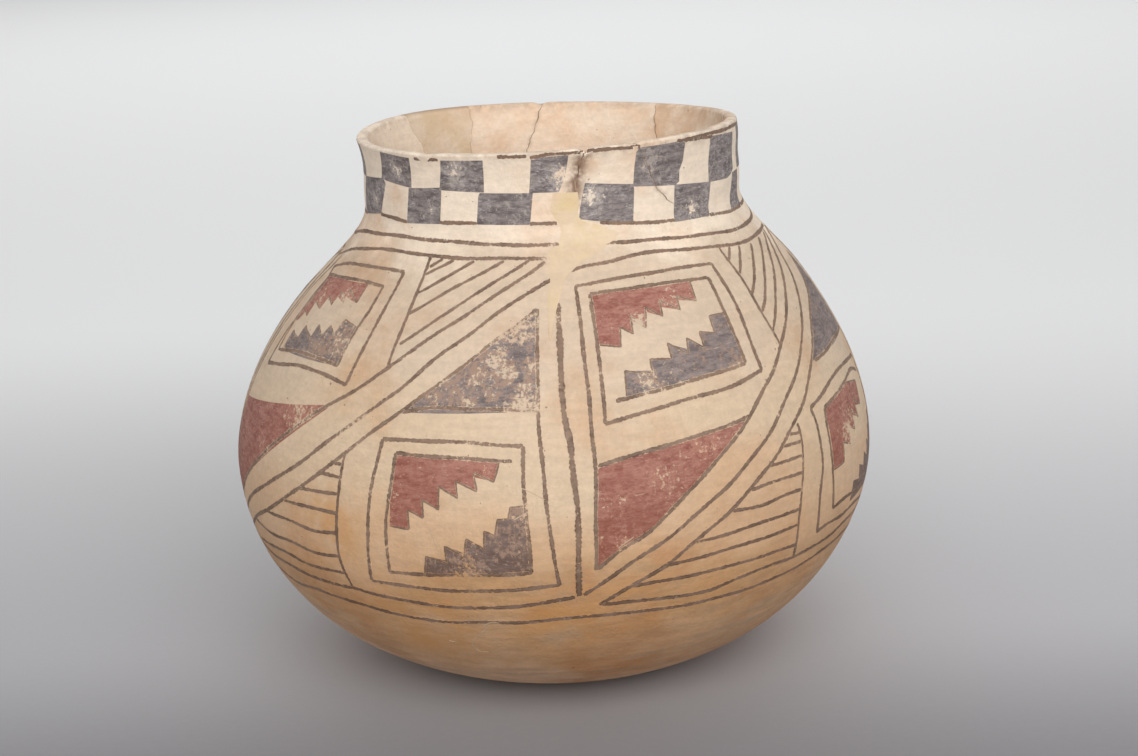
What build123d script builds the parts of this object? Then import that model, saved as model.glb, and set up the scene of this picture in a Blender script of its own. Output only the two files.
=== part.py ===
from build123d import *

import os
from math import cos, radians, sin, sqrt

os.makedirs("parts", exist_ok=True)

# A painted pueblo jar, broken at the neck and mended with glue and plaster.
# Sizes are in millimetres. The base stands on z = 0, the mouth opens to +Z and the front is -Y.
belly_radius = 110.0
belly_height = 76.5
foot_radius = 48.0
foot_round = 60.0
shoulder_rise = 87.2
waist_radius = 63.6
rim_flare = 2.8
neck_rise = 37.9
flare_height = 14.5
crease_round = 30.0
wall = 5.5
floor_thickness = 7.0
lip_round = 1.8
seam_rise = 10.4
glue_gap = 0.4

# Sizes that follow from them. The neck rises from the shoulder where the shoulder is as wide as it.
lower_drop = belly_height / sqrt(1 - (foot_radius / belly_radius) ** 2)
neck_root = belly_height + shoulder_rise * sqrt(1 - (waist_radius / belly_radius) ** 2)
rim_radius = waist_radius + rim_flare
rim_height = neck_root + neck_rise
waist_height = rim_height - flare_height
seam_height = neck_root + seam_rise
seam_bottom = seam_height - glue_gap / 2
seam_top = seam_height + glue_gap / 2

# Break lines of the neck and the edges of its two fills, as (bearing, share of the height from seam to rim).
# A bearing is in degrees from the front towards the right, +X.
break_front_left = [(11, 1.1), (8.5, 0.9), (7, 0.6), (5, -0.1)]
break_front_right = [(23, 1.1), (28, 0.76), (32, 0.45), (36, 0.29), (41, 0.18), (58, -0.1)]
break_back_right = [(142, 1.1), (141, 0.8), (139, 0.55), (140, -0.1)]
break_back = [(182, 1.1), (185, 0.72), (188, 0.45), (191, -0.1)]
rim_fill_edge = [(209, 1.1), (208, 0.8), (209.5, 0.5), (210, -0.1),
                 (224, -0.1), (231, 0.65), (234, 0.78), (236, 1.1)]
shoulder_fill_edge = [(2.7, 0.58), (7.2, 0.56), (10, 0.4), (11.8, 0.22), (15.5, 0.04), (13.6, -0.18),
                      (3.6, -0.29), (1.3, -0.62), (-0.9, -1.05), (-3.2, -0.62), (-4.5, -0.04),
                      (-4.5, 0.18), (-1.8, 0.44)]


def vessel_outline(inset, floor):
    """Half outline of the jar, drawn inwards by inset and cut flat at the height floor."""
    radius, drop, rise = belly_radius - inset, lower_drop - inset, shoulder_rise - inset
    waist = waist_radius - inset
    crease = (waist, belly_height + rise * sqrt(1 - (waist / radius) ** 2))
    foot = (radius * sqrt(1 - ((belly_height - floor) / drop) ** 2), floor)
    with BuildSketch() as outline:
        with BuildLine():
            belly = EllipticalCenterArc((0, belly_height), radius, drop, start_angle=-90, arc_size=90)
            shoulder = EllipticalCenterArc((0, belly_height), radius, rise, start_angle=0, arc_size=90)
            Line(shoulder @ 1, belly @ 0)
        make_face()
        with Locations((0, floor)):
            Rectangle(2 * radius, drop, align=(Align.CENTER, Align.MAX), mode=Mode.SUBTRACT)
        with BuildLine():
            neck = Polyline((0, rim_height), (0, belly_height), (waist, belly_height), (waist, waist_height))
            flare = TangentArc(neck @ 1, (rim_radius - inset, rim_height), tangent=(0, 1))
            Line(flare @ 1, neck @ 0)
        make_face()
        fillet(outline.vertices().sort_by_distance(crease)[0], crease_round + inset)
        fillet(outline.vertices().sort_by_distance(foot)[0], foot_round - inset)
    return outline.sketch_local


with BuildSketch() as wall_section:
    add(vessel_outline(0, 0))
    add(vessel_outline(wall, floor_thickness), mode=Mode.SUBTRACT)
    fillet(wall_section.vertices().group_by(Axis.Y)[-1], lip_round)


def wall_band(low, high):
    """The jar's wall between two heights, turned all the way round."""
    with BuildPart() as band:
        with BuildSketch(Plane.XZ):
            add(wall_section.sketch_local)
            with Locations((0, low)):
                Rectangle(4 * belly_radius, high - low, align=(Align.CENTER, Align.MIN), mode=Mode.INTERSECT)
        revolve(axis=Axis.Z)
    return band.part


def facing(bearing):
    """Upright plane through the jar's axis that looks out along the bearing."""
    angle = radians(bearing)
    return Plane((0, 0, 0), x_dir=(cos(angle), sin(angle), 0), z_dir=(sin(angle), -cos(angle), 0))


def middle(line):
    return (line[0][0] + line[-1][0]) / 2


def on_plane(line):
    """Points of a line on the neck as they fall on the upright plane that faces the line's middle."""
    turned = [radians(bearing - middle(line)) for bearing, share in line]
    heights = [seam_height + share * (rim_height - seam_height) for bearing, share in line]
    return [(waist_radius * sin(angle), height) for angle, height in zip(turned, heights)]


def break_slot(line):
    """Thin slot along a break line, from the axis out through the wall."""
    with BuildPart() as slot:
        with BuildSketch(facing(middle(line))):
            with BuildLine():
                Polyline(*on_plane(line))
            trace(line_width=glue_gap)
        extrude(amount=belly_radius)
    return slot.part


def fill_block(edge):
    """Prism round a missing patch of wall, from the axis out through the wall."""
    with BuildPart() as block:
        with BuildSketch(facing(middle(edge))):
            with BuildLine():
                Polyline(*on_plane(edge), close=True)
            make_face()
        extrude(amount=belly_radius)
    return block.part


def piece_at(pieces, bearing, height):
    """The loose piece that lies at a bearing and height of the wall."""
    angle = radians(bearing)
    radius = waist_radius - wall / 2
    spot = Vertex(radius * sin(angle), -radius * cos(angle), height)
    return pieces.solids().sort_by_distance(spot)[0]


def keep(builder, name):
    builder.part.label = name
    export_step(builder.part, f"parts/{name}.step")


shoulder_block = fill_block(shoulder_fill_edge)
rim_block = fill_block(rim_fill_edge)
joints = {
    "joint_glue_front_left": break_slot(break_front_left),
    "joint_glue_front_right": break_slot(break_front_right),
    "joint_glue_back_right": break_slot(break_back_right),
    "joint_glue_back": break_slot(break_back),
}

# Body with the break at the root of its neck
with BuildPart() as vessel_body:
    add(wall_band(0, seam_bottom))
    add(shoulder_block, mode=Mode.SUBTRACT)
keep(vessel_body, "vessel_body")

# Plaster fills cast into the two gaps
with BuildPart() as shoulder_fill:
    add(wall_band(0, rim_height))
    add(shoulder_block, mode=Mode.INTERSECT)
keep(shoulder_fill, "shoulder_fill")

with BuildPart() as rim_fill:
    add(wall_band(seam_bottom, rim_height))
    add(rim_block, mode=Mode.INTERSECT)
keep(rim_fill, "rim_fill")

# Neck sherds between the breaks, and the layer of glue that each one stands on
with BuildPart() as broken_neck:
    add(wall_band(seam_top, rim_height))
    add([shoulder_block, rim_block, *joints.values()], mode=Mode.SUBTRACT)

with BuildPart() as broken_seam:
    add(wall_band(seam_bottom, seam_top))
    add([shoulder_block, rim_block, *joints.values()], mode=Mode.SUBTRACT)

sherd_bearings = {"left": -60, "front": 20, "right": 95, "back_right": 165, "back_left": 200}
for place, bearing in sherd_bearings.items():
    with BuildPart() as neck_sherd:
        add(piece_at(broken_neck.part, bearing, (seam_height + rim_height) / 2))
    keep(neck_sherd, f"neck_sherd_{place}")
    with BuildPart() as seam_glue:
        add(piece_at(broken_seam.part, bearing, seam_height))
    keep(seam_glue, f"seam_glue_{place}")

# Glue between neighbouring sherds
for name, slot in joints.items():
    with BuildPart() as joint_glue:
        add(wall_band(seam_bottom, rim_height))
        add(slot, mode=Mode.INTERSECT)
        add(shoulder_block, mode=Mode.SUBTRACT)
    keep(joint_glue, name)
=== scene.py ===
from math import cos, pi, radians, sin

import bpy
import numpy as np
from mathutils import Matrix, Vector


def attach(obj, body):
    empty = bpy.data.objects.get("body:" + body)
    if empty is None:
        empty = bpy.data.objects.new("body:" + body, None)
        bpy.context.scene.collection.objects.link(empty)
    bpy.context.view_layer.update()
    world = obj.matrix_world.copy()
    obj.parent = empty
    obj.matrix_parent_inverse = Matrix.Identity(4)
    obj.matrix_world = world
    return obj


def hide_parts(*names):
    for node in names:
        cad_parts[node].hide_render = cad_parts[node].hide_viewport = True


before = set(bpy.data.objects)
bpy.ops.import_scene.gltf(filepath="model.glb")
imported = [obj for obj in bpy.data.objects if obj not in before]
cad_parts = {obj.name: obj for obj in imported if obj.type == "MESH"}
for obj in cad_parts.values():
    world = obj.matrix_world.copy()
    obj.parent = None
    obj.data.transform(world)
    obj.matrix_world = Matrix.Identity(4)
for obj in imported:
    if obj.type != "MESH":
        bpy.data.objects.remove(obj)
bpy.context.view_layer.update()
print("frame loaded")

# The jar's form in metres; a bearing runs from the front, -Y, towards +X
jar = {
    "bellyRadius": 0.110,
    "bellyHeight": 0.0765,
    "footSquareness": 2.2,    # 2 is a plain ellipse, more is fuller at the corner
    "footDrop": 0.0810,       # the lower curve would end this far below the belly
    "shoulderSquareness": 1.85,
    "shoulderRise": 0.0981,
    "waistRadius": 0.0636,
    "waistHeight": 0.1711,
    "rimFlare": 0.0028,
    "rimHeight": 0.1855,
    "creaseBlend": 0.0156,
    "wall": 0.0055,
    "floor": 0.0070,
    "seamHeight": 0.1580,
    "lipFoot": 0.1846,        # the lip's rounding starts here and nothing is painted above it
    "neckDrift": 0.0030,      # the rim's middle stands this far to the right of the base's
    "rimTilt": 0.022,
    "rimSaddle": 0.0011,
    "rimSwells": [(-40, 50, 0.0015), (-120, 36, 0.0009)],       # bearing, width in degrees and rise
    "handWaves": [(0.00030, 2, 40, 0), (0.00022, 3, -70, 1)],   # depth, pace round, pace up and start
    "flankNarrowness": 5,
    "flanks": [               # swellings and hollows of the wall: bearing, depth, height and spread
        (84, -0.00220, 0.1862, 0.0042),
        (84, 0.00115, 0.168, 0.009),
        (-84, 0.00070, 0.168, 0.010),
        (84, 0.00094, 0.148, 0.014),
        (84, -0.00102, 0.120, 0.018),
        (84, 0.00125, 0.068, 0.020),
        (-84, 0.00090, 0.078, 0.024),
        (-84, -0.00070, 0.033, 0.014),
    ],
}


def share(height, low, high):
    # How far a height has come on the way from low to high, from 0 to 1.
    return np.clip((height - low) / (high - low), 0, 1)


def upNeck(height):
    # The share of the way from the seam to the rim.
    return share(height, jar["seamHeight"], jar["rimHeight"])


def bell(bearing, middle, width):
    # A bell curve of the degrees between a bearing and a middle, the short way round.
    apart = (np.degrees(bearing) - middle + 180) % 360 - 180
    return np.exp(-(apart / width) ** 2)


def ripple(along, start, waves):
    # Sine waves added up along a line, each with its size, its pace and its share of the start.
    return sum(size * np.sin(pace * along + turn * start) for size, pace, turn in waves)


def smoothMax(first, second, blend):
    # The larger of two values, with a parabola over the width of blend where they cross.
    overlap = np.maximum(blend - np.abs(first - second), 0) / blend
    return np.maximum(first, second) + overlap ** 2 * blend / 4


def superellipse(part, power):
    # The width at a share of the way from the widest place to the end, as a share of the widest.
    return (1 - part ** power) ** (1 / power)


def lowerDrop(inset):
    # How far the lower curve reaches below the belly; the inside's ends on the floor of the jar.
    return jar["footDrop"] - inset * jar["floor"] / jar["wall"]


def wallRadius(height, inset):
    # Below the belly a superellipse, above it another that runs smoothly into the neck, whose
    # flare is a parabola; the whole outline is drawn inwards by inset.
    radius = jar["bellyRadius"] - inset
    below = np.clip((jar["bellyHeight"] - height) / lowerDrop(inset), 0, 1)
    above = np.clip((height - jar["bellyHeight"]) / (jar["shoulderRise"] - inset), 0, 1)
    lower = radius * superellipse(below, jar["footSquareness"])
    upper = radius * superellipse(above, jar["shoulderSquareness"])
    flare = (height - jar["waistHeight"]) / (jar["rimHeight"] - jar["waistHeight"])
    collar = jar["waistRadius"] - inset + jar["rimFlare"] * np.clip(flare, 0, 2) ** 2
    joined = smoothMax(upper, collar, jar["creaseBlend"])
    return np.where(height < jar["bellyHeight"], lower, joined)


def handForm(bearing, height):
    # Slow waves round and up the wall, and bell-shaped swellings and hollows on the two flanks.
    total = 0
    for depth, paceRound, paceUp, start in jar["handWaves"]:
        total = total + depth * np.sin(paceRound * bearing + paceUp * height + start)
    for side, depth, middle, spread in jar["flanks"]:
        flank = np.exp(jar["flankNarrowness"] * (np.cos(bearing - radians(side)) - 1))
        total = total + depth * flank * np.exp(-((height - middle) / spread) ** 2)
    return total


def rimWave(bearing, height):
    # The rim rises and falls twice on its way round, with bell-shaped swells on the left, and the
    # neck below it less and less down to the seam.
    wave = jar["rimSaddle"] * np.sin(2 * bearing)
    for middle, width, rise in jar["rimSwells"]:
        wave = wave + rise * bell(bearing, middle, width)
    return wave * upNeck(height)


def axisDrift(height):
    # How far the axis stands to the right: not at all up to the belly, then evenly more to the rim.
    return jar["neckDrift"] * share(height, jar["bellyHeight"], jar["rimHeight"])


def place(bearing, radius, height):
    # A point on a circle about the drifting axis; heights tilt with x, and the rim waves.
    x = radius * np.sin(bearing) + axisDrift(height)
    y = -radius * np.cos(bearing)
    z = height * (1 + jar["rimTilt"] * x / jar["rimHeight"])
    z = z + rimWave(bearing, height)
    return np.stack(np.broadcast_arrays(x, y, z), axis=-1)


def outside(bearing, height):
    # The outer wall: its turned radius and the marks of the maker's hands.
    return place(bearing, wallRadius(height, 0) + handForm(bearing, height), height)


def outsideNormal(bearing, height):
    # The cross product of the outside's slopes round the jar and up it.
    step = 1e-4
    around = outside(bearing + step, height) - outside(bearing - step, height)
    upward = outside(bearing, height + step) - outside(bearing, height - step)
    normal = np.cross(around, upward)
    return normal / np.linalg.norm(normal, axis=-1, keepdims=True)


# Camera at the photograph's viewing angle, in pixels of its 1138 x 756 frame
photo = {
    "eye": (0.00625, -0.7150, 0.2814),
    "tiltDown": 14.527,
    "roll": -2.19,
    "focalPixels": 2093.4,
    "frame": (1138, 756),
    "sensor": 36,             # millimetres
    "rayReach": (0.52, 0.82, 1501),   # where a ray from the eye is walked, and in how many steps
    "skinGirth": 0.09,        # metres of wall in a radian of bearing, near enough at every height
}
eye = np.array(photo["eye"])
tiltDown = radians(photo["tiltDown"])
roll = radians(photo["roll"])
lookAlong = np.array([0, cos(tiltDown), -sin(tiltDown)])
lookRight = np.array([cos(roll), sin(roll) * sin(tiltDown), sin(roll) * cos(tiltDown)])
lookUp = np.cross(lookRight, lookAlong)


def onJar(pixels):
    # The bearing and height where the camera's ray through each pixel first meets the outside,
    # found in short steps; a ray that passes the jar takes the place where it comes nearest.
    offset = np.asarray(pixels, dtype=float) - np.array(photo["frame"]) / 2
    sideways = offset[:, :1] * lookRight - offset[:, 1:] * lookUp
    rays = lookAlong + sideways / photo["focalPixels"]
    reach = np.linspace(*photo["rayReach"])
    spots = eye + rays[:, None, :] * reach[None, :, None]
    x, y, z = spots[..., 0], spots[..., 1], spots[..., 2]
    height = z / (1 + jar["rimTilt"] * x / jar["rimHeight"])
    bearing = np.arctan2(x - axisDrift(height), -y)
    height = height - rimWave(bearing, height - rimWave(bearing, height))
    gap = np.hypot(x - axisDrift(height), y) - wallRadius(height, 0) - handForm(bearing, height)
    entered = gap < 0
    first = np.where(entered.any(axis=1), entered.argmax(axis=1), gap.argmin(axis=1))
    row = np.arange(len(first))
    return bearing[row, first], height[row, first]


def onSkin(pixels, hidden=()):
    # Pixels of the photograph, and after them hidden points in degrees and millimetres, as metres
    # along the wall and up it.
    seen = np.stack(onJar(pixels), axis=1) if len(pixels) else np.zeros((0, 2))
    unseen = np.array(hidden, dtype=float).reshape(-1, 2) * (pi / 180, 0.001)
    return np.concatenate([seen, unseen]) * (photo["skinGirth"], 1)


def offSkin(points):
    # Metres along the wall and up it as bearings and heights, no higher than the lip's foot.
    return points[..., 0] / photo["skinGirth"], np.minimum(points[..., 1], jar["lipFoot"])


camera = bpy.data.objects.new("PhotoCamera", bpy.data.cameras.new("PhotoCamera"))
camera.data.sensor_width = photo["sensor"]
camera.data.lens = photo["sensor"] * photo["focalPixels"] / photo["frame"][0]
camera.data.clip_start = 0.01
axes = np.stack([lookRight, lookUp, -lookAlong], axis=1)
camera.matrix_world = Matrix.Translation(photo["eye"]) @ Matrix(axes.tolist()).to_4x4()
bpy.context.scene.collection.objects.link(camera)
bpy.context.scene.camera = camera
print("camera placed")

# Meshes: every piece is a set of closed grids
sharpFrom = 45                # degrees between two faces from which their edge is drawn sharp


def gridFaces(index):
    # Four-cornered faces between neighbouring rows and columns of a grid of point numbers.
    corners = [index[:-1, :-1], index[1:, :-1], index[1:, 1:], index[:-1, 1:]]
    return np.stack(corners, axis=-1).reshape(-1, 4)


def slab(outer, inner):
    # A closed shell: the outer grid, the inner grid turned round, and a wall of faces that joins
    # their edges all the way round.
    columns, rows = outer.shape[:2]
    count = columns * rows
    index = np.arange(count).reshape(columns, rows)
    edge = np.concatenate([index[:-1, 0], index[-1, :-1], index[:0:-1, -1], index[0, :0:-1]])
    after = np.roll(edge, -1)
    sides = np.stack([after, edge, edge + count, after + count], axis=-1)
    faces = np.concatenate([gridFaces(index), gridFaces(index)[:, ::-1] + count, sides])
    return np.concatenate([outer.reshape(-1, 3), inner.reshape(-1, 3)]), faces


def joinGrids(grids):
    # One list of points and faces from many closed grids.
    starts = np.cumsum([0] + [len(points) for points, faces in grids[:-1]])
    points = np.concatenate([points for points, faces in grids])
    faces = np.concatenate([faces + start for (grid, faces), start in zip(grids, starts)])
    return points, faces


def addPiece(name, points, faces, finish, slot, nodes=(), marks=None):
    # A smooth-shaded mesh with its marks as point attributes, riding on the jar.
    mesh = bpy.data.meshes.new(name)
    mesh.from_pydata(points.tolist(), [], faces.tolist() if isinstance(faces, np.ndarray) else faces)
    mesh.validate()
    mesh.shade_smooth()
    mesh.set_sharp_from_angle(angle=radians(sharpFrom))
    for mark, values in (marks or {}).items():
        mesh.attributes.new(mark, "FLOAT", "POINT").data.foreach_set("value", values.ravel())
    mesh.materials.append(finish.material)
    piece = bpy.data.objects.new(name, mesh)
    bpy.context.scene.collection.objects.link(piece)
    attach(piece, "root")
    if nodes:
        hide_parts(*nodes)


# Finishes: colours are screen colours, 0 to 255
specularLevel = 0.3           # dull, dry surfaces all over
grainLevels = (0.3, 0.7)      # the part of a noise that a grain's roughness is spread over


def linear(red, green, blue):
    # Screen colour to linear light.
    levels = np.array([red, green, blue]) / 255
    return (*np.where(levels < 0.04045, levels / 12.92, ((levels + 0.055) / 1.055) ** 2.4), 1)


class Finish:
    # A material in the making, with the coordinates that its patterns read.
    def __init__(self, name):
        self.material = bpy.data.materials.new(name)
        self.material.use_nodes = True
        self.tree = self.material.node_tree
        self.spots = self.node("ShaderNodeTexCoord").outputs["Object"]

    def node(self, kind, inputs=None, **settings):
        # A node with its settings; an input that is a socket is linked, any other is set.
        made = self.tree.nodes.new(kind)
        for key, value in settings.items():
            setattr(made, key, value)
        for key, value in (inputs or {}).items():
            if isinstance(value, bpy.types.NodeSocket):
                self.tree.links.new(value, made.inputs[key])
            else:
                made.inputs[key].default_value = value
        return made

    def axis(self, letter):
        # One coordinate, in metres.
        return self.node("ShaderNodeSeparateXYZ", {0: self.spots}).outputs[letter]

    def noise(self, scale, detail, roughness=0.55, spots=None):
        # Cloudy noise from 0 to 1.
        inputs = {"Vector": spots or self.spots, "Scale": scale, "Detail": detail, "Roughness": roughness}
        return self.node("ShaderNodeTexNoise", inputs).outputs["Fac"]

    def level(self, value, low, high, toLow=0.0, toHigh=1.0):
        # Values from low to high spread over toLow to toHigh, easing in and out.
        inputs = {"Value": value, "From Min": low, "From Max": high, "To Min": toLow, "To Max": toHigh}
        return self.node("ShaderNodeMapRange", inputs, interpolation_type="SMOOTHSTEP").outputs[0]

    def patches(self, scale, detail, roughness, *levels, spots=None):
        # Noise brought to the levels.
        return self.level(self.noise(scale, detail, roughness, spots), *levels)

    def combined(self, kind, first, second):
        # Two values added, multiplied or the like.
        return self.node("ShaderNodeMath", {0: first, 1: second}, operation=kind).outputs[0]

    def mixed(self, factor, first, second, kind="MIX"):
        # The second colour over the first by a factor.
        pair = [linear(*colour) if isinstance(colour, tuple) else colour for colour in (first, second)]
        inputs = {0: factor, 6: pair[0], 7: pair[1]}
        return self.node("ShaderNodeMix", inputs, data_type="RGBA", blend_type=kind).outputs[2]

    def laid(self, colour, coat, within=None, kind="MIX", spots=None):
        # A coat's own colour laid on in its patches, all over or as far as they are within an area.
        shade, *patch = coat
        amount = self.patches(*patch, spots=spots)
        if within is not None:
            amount = self.combined("MULTIPLY", amount, within)
        return self.mixed(amount, colour, shade, kind)

    def mark(self, name):
        # A piece's own value at each point.
        return self.node("ShaderNodeAttribute", attribute_name=name).outputs["Fac"]

    def stretched(self, scale, turn=(0, 0, 0)):
        # Coordinates scaled by axis and turned, so that a pattern runs long one way.
        inputs = {"Vector": self.spots, "Rotation": turn, "Scale": scale}
        return self.node("ShaderNodeMapping", inputs).outputs[0]

    def finish(self, colour, look):
        # A fine grain gives the roughness and, with a broader relief where there is one, the bump.
        grain = self.noise(*look["grain"])
        height = self.combined("ADD", grain, self.noise(*look["relief"])) if "relief" in look else grain
        bump = self.node("ShaderNodeBump", {"Height": height, "Distance": look["bump"], "Strength": 1.0})
        shader = self.tree.nodes["Principled BSDF"]
        self.tree.links.new(colour, shader.inputs["Base Color"])
        roughness = self.level(grain, *grainLevels, *look["roughness"])
        self.tree.links.new(roughness, shader.inputs["Roughness"])
        self.tree.links.new(bump.outputs["Normal"], shader.inputs["Normal"])
        shader.inputs["Specular IOR Level"].default_value = specularLevel


# A noise is its scale, detail and roughness; patches go on with the levels taken from it and what these
# become; a coat has its colour before its patches; bump is the depth of grain and relief in metres
clayLook = {
    # The tones down the height are set to match the shading: the neck painted paler and the shoulder
    # darker than the clay, and the base paler as painted light under the jar.
    "neck": (249, 230, 208),
    "toneAndShadeBands": [                # colour, partly painted light and shade, and the heights between which it takes over on the way down
        ((217, 194, 169), 0.161, 0.145),
        ((219, 193, 163), 0.128, 0.100),
        ((216, 179, 143), 0.098, 0.070),
        ((199, 156, 114), 0.072, 0.054),
        ((207, 166, 127), 0.052, 0.036),
        ((228, 188, 152), 0.028, 0.004),
    ],
    "wander": (17, 4, 0.55, 0.25, 0.75, -0.014, 0.014),    # metres up and down of a band's edge
    "warm": ((226, 186, 146), 26, 5, 0.62, 0.46, 0.72, 0.0, 0.5),
    "lowHeights": (0.074, 0.046),    # between these the patches of the lower belly come in
    "orange": ((196, 132, 76), 34, 4, 0.6, 0.50, 0.70, 0.0, 0.55),
    "wiping": (26, 26, 170),
    "grey": ((178, 156, 134), 1.3, 5, 0.66, 0.48, 0.72, 0.0, 0.5),
    "streaks": (2.4, 5, 0.66, 0.3, 0.7),
    "streakTones": [(0.95, 1.03), (0.90, 1.08)],    # darkest and palest, above and low down
    "mottle": (420, 5, 0.7, 0.3, 0.7, 0.93, 1.05),
    "deposit": ((222, 208, 192), 52, 6, 0.74, 0.62, 0.74, 0.0, 0.45),
    "pit": ((118, 90, 70), 620, 1.0, 0.55, 0.775, 0.80, 0.0, 0.75),
    "toasted": ((206, 148, 88), 70, 5, 0.65, 0.30, 0.62),
    "stain": ((120, 84, 60), 260, 4, 0.55, 0.35, 0.62),
    "grain": (900, 4, 0.6),
    "relief": (130, 3),
    "roughness": (0.48, 0.72),
    "bump": 0.00022,
}


def clayColour(finish):
    # Cream slip on the neck that warms down the shoulder and belly to bare tan clay and a paler base,
    # along uneven edges; low down it has orange and grey patches and wiping streaks, and all over it is
    # mottled, with pale deposits and small pits. The steps down the height are partly painted light and
    # shade: the neck is painted paler and the shoulder darker than the clay, and the base paler as painted
    # light under the jar.
    reach = finish.combined("ADD", finish.axis("Z"), finish.patches(*clayLook["wander"]))
    colour = clayLook["neck"]
    for shade, start, end in clayLook["toneAndShadeBands"]:
        colour = finish.mixed(finish.level(reach, start, end), colour, shade)
    colour = finish.laid(colour, clayLook["warm"], kind="MULTIPLY")
    low = finish.level(reach, *clayLook["lowHeights"])
    wiped = finish.stretched(clayLook["wiping"])
    colour = finish.laid(colour, clayLook["orange"], low)
    colour = finish.laid(colour, clayLook["grey"], low, spots=wiped)
    streaks = finish.patches(*clayLook["streaks"], spots=wiped)
    faint, strong = [finish.level(streaks, 0, 1, *tones) for tones in clayLook["streakTones"]]
    colour = finish.mixed(1.0, colour, finish.mixed(low, faint, strong), "MULTIPLY")
    colour = finish.mixed(1.0, colour, finish.patches(*clayLook["mottle"]), "MULTIPLY")
    colour = finish.laid(colour, clayLook["deposit"])
    return finish.laid(colour, clayLook["pit"])


clay = Finish("paintedClay")
# Toasted patches where a piece is marked: scorching, and on the right neck sherd's inner face painted
# shade.
colour = clay.laid(clayColour(clay), clayLook["toasted"], clay.mark("toasted"))
colour = clay.laid(colour, clayLook["stain"], clay.mark("stain"))
clay.finish(colour, clayLook)

paintLooks = {                # haze has its colour and its most, wear its start, its end and its most
    "lineBlack": {
        "full": (93, 72, 59),
        "thin": (148, 122, 103),
        "low": (90, 64, 46),
        "rubbed": (170, 142, 122),
        "haze": ((196, 178, 164), 0.35),
        "wear": (0.76, 0.82, 0.90),
        "scratched": 0.35,
        "brushed": True,
    },
    "shapeBlack": {
        "full": (104, 93, 92),
        "thin": (152, 136, 130),
        "low": (112, 84, 69),
        "rubbed": (168, 138, 118),
        "haze": ((188, 174, 164), 0.35),
        "wear": (0.78, 0.84, 0.92),
        "scratched": 0.5,
        "brushed": False,
    },
    "neckBlack": {
        "full": (100, 91, 90),
        "thin": (156, 145, 141),
        "low": (118, 90, 74),
        "rubbed": (178, 166, 158),
        "haze": ((204, 197, 196), 0.85),
        "wear": (0.80, 0.86, 0.88),
        "scratched": 0.6,
        "brushed": False,
    },
    "shapeRed": {
        "full": (140, 82, 70),
        "thin": (180, 129, 114),
        "low": (144, 84, 66),
        "rubbed": (176, 122, 105),
        "haze": ((212, 172, 156), 0.4),
        "wear": (0.77, 0.83, 0.85),
        "scratched": 0.6,
        "brushed": False,
    },
}
paintSurface = {              # what all four paints share
    "pull": (170, 170, 560),
    "tone": (1.0, 6, 0.78, 0.34, 0.66),
    "lowHeights": (0.110, 0.055, 0.0, 0.8),    # and how far the brown has come in at each
    "thinned": (420, 6, 0.8, 0.3, 0.7, -0.8, 0.8),
    "thinLevels": (0.15, 0.85, 0.0, 0.9),
    "scuffs": (2.6, 5, 0.8, 0.50, 0.68),
    "scuffedAreas": (75, 4, 0.6, 0.40, 0.58),
    "fineWear": (700, 6, 0.75),
    "broadWear": (48, 4, 0.6),
    "wearWeights": (0.88, 0.42, 0.20),    # fine, broad and rubbed
    "lineMiddle": (0.2, 0.8, 0.35, 0.0),
    "dried": (120, 3, 0.55, 0.44, 0.62, 0.0, 0.7),
    "lineEdge": (0.6, 1.0, 0.0, 0.16),
    "scratchStretch": (90, 90, 1100),
    "scratchTurn": (0.5, 0.7, 0.4),
    "scratches": (1.0, 4, 0.7, 0.64, 0.73),
    "grain": (800, 4, 0.6),
    "roughness": (0.55, 0.8),
    "bump": 0.00015,
}


def paintFinish(name, look):
    # Mineral paint brushed thick and thin along the strokes, browner low on the belly and where it is
    # rubbed, scuffed to a pale haze in patches, and thinner in the middle of a brush line and where the
    # brush ran dry. It is worn through to the clay where a fine and a broad noise add up, at rubbed
    # spots and the ragged edges of lines, and along scratches.
    surface = paintSurface
    paint = Finish(name)
    pulled = paint.stretched(surface["pull"])
    colour = paint.mixed(paint.patches(*surface["tone"], spots=pulled), look["full"], look["thin"])
    colour = paint.mixed(paint.level(paint.axis("Z"), *surface["lowHeights"]), colour, look["low"])
    rubbed = paint.mark("rubbed")
    thinned = paint.combined("ADD", rubbed, paint.patches(*surface["thinned"]))
    colour = paint.mixed(paint.level(thinned, *surface["thinLevels"]), colour, look["rubbed"])
    haze, hazeMost = look["haze"]
    scuffedAreas = paint.patches(*surface["scuffedAreas"])
    colour = paint.laid(colour, (haze, *surface["scuffs"], 0.0, hazeMost), scuffedAreas, spots=pulled)
    causes = [paint.noise(*surface["fineWear"]), paint.noise(*surface["broadWear"]), rubbed]
    weighed = [paint.combined("MULTIPLY", *pair) for pair in zip(causes, surface["wearWeights"])]
    wear = paint.combined("ADD", paint.combined("ADD", weighed[0], weighed[1]), weighed[2])
    if look["brushed"]:
        across = paint.combined("ABSOLUTE", paint.mark("across"), 0.0)
        colour = paint.mixed(paint.level(across, *surface["lineMiddle"]), colour, look["thin"])
        colour = paint.laid(colour, (look["thin"], *surface["dried"]))
        wear = paint.combined("ADD", wear, paint.level(across, *surface["lineEdge"]))
    start, end, most = look["wear"]
    along = paint.stretched(surface["scratchStretch"], surface["scratchTurn"])
    scratches = paint.patches(*surface["scratches"], 0.0, look["scratched"], spots=along)
    bare = paint.combined("MAXIMUM", paint.level(wear, start, end, 0.0, most), scratches)
    paint.finish(paint.mixed(bare, colour, clayColour(paint)), surface)
    return paint


lineBlack, shapeBlack, neckBlack, shapeRed = [paintFinish(*paint) for paint in paintLooks.items()]

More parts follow.
